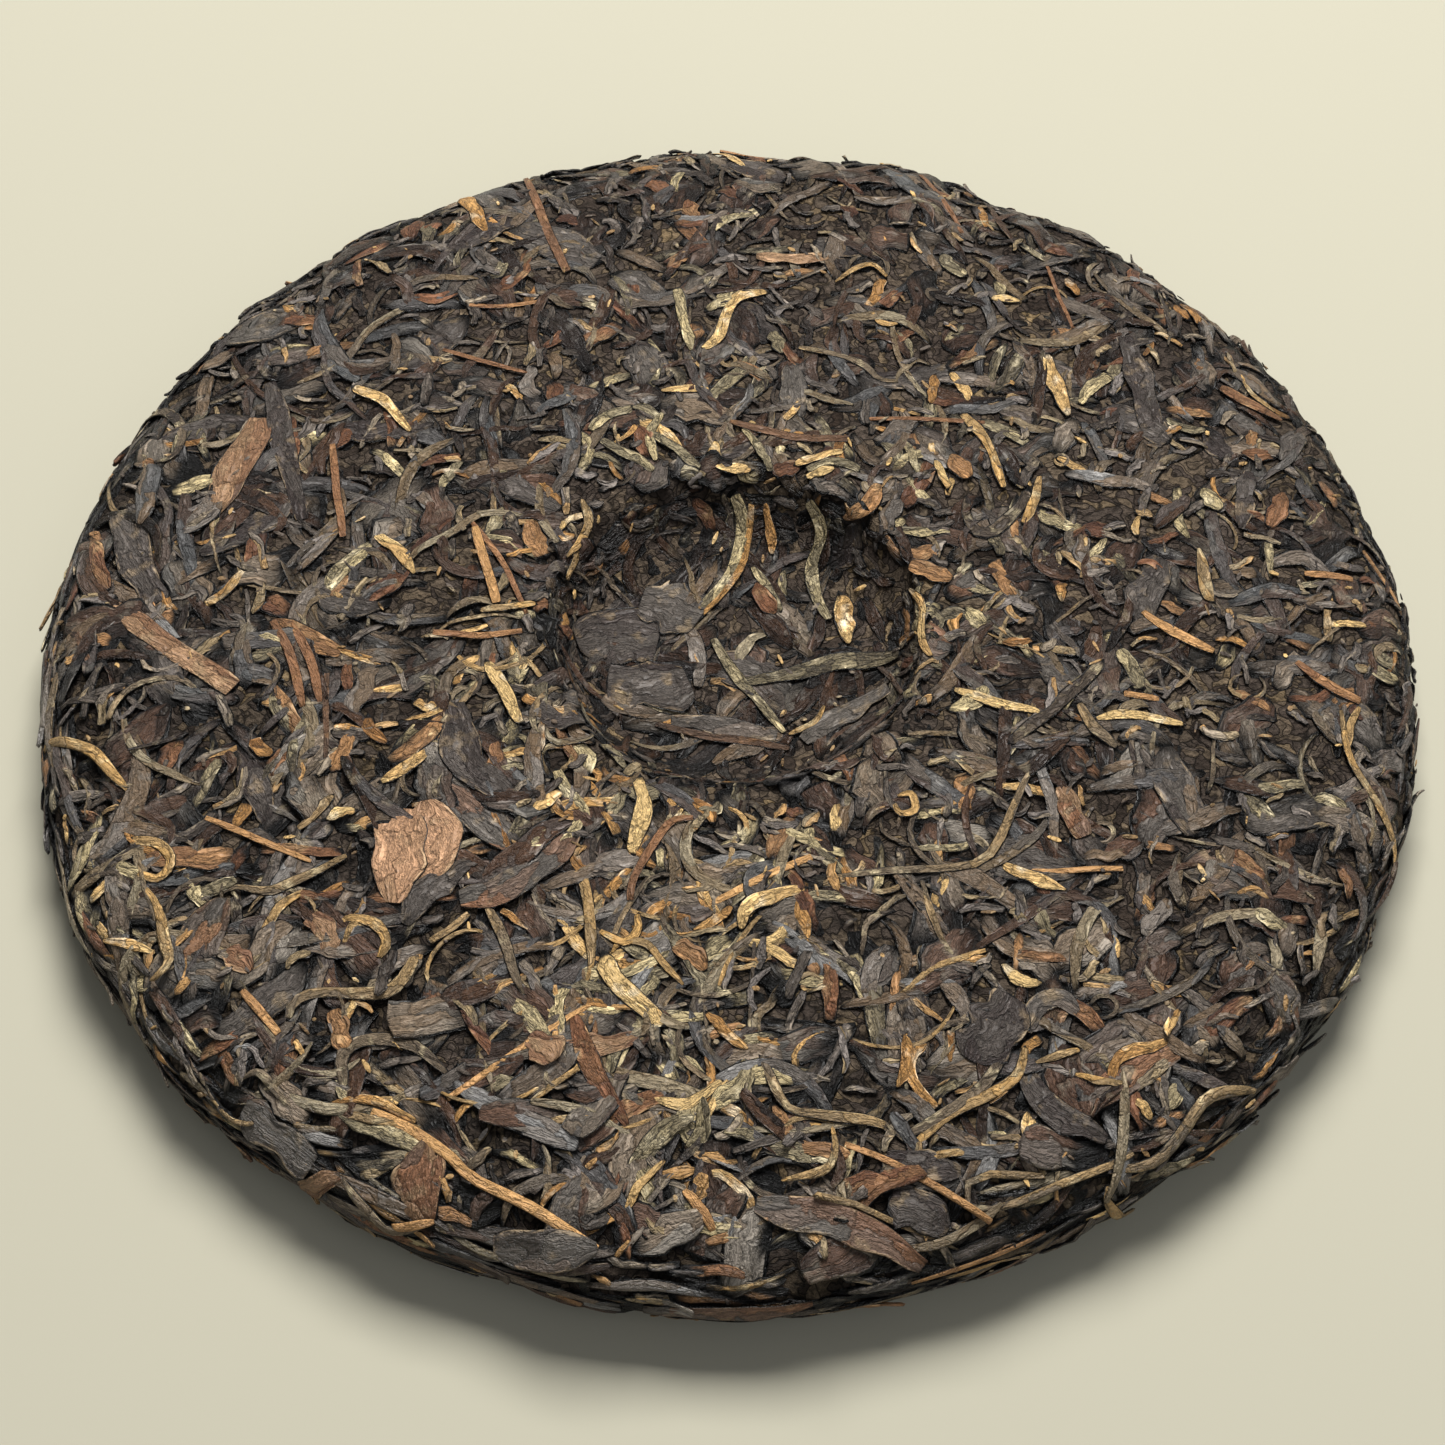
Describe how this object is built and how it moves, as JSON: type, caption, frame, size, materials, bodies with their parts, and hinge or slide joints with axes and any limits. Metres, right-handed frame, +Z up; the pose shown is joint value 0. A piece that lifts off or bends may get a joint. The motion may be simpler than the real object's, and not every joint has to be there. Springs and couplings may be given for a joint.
{
  "type": "raw pu-erh tea cake",
  "caption": "Round cake of pressed whole tea leaf, lying with its dimpled back up: a low rounded rim, a raised ring and a round hollow in the middle.",
  "frame": {"origin": "middle of the cake's box, at the height of the surface that it lies on", "axes": "+Z up out of the dimple, and -Y towards the viewer of the picture"},
  "size_m": [0.1978, 0.1994, 0.0227],
  "materials": {
    "pressed_tea_leaf": "satin"
  },
  "bodies": {
    "root": {"tea_cake": "pressed_tea_leaf"}
  },
  "joints": []
}
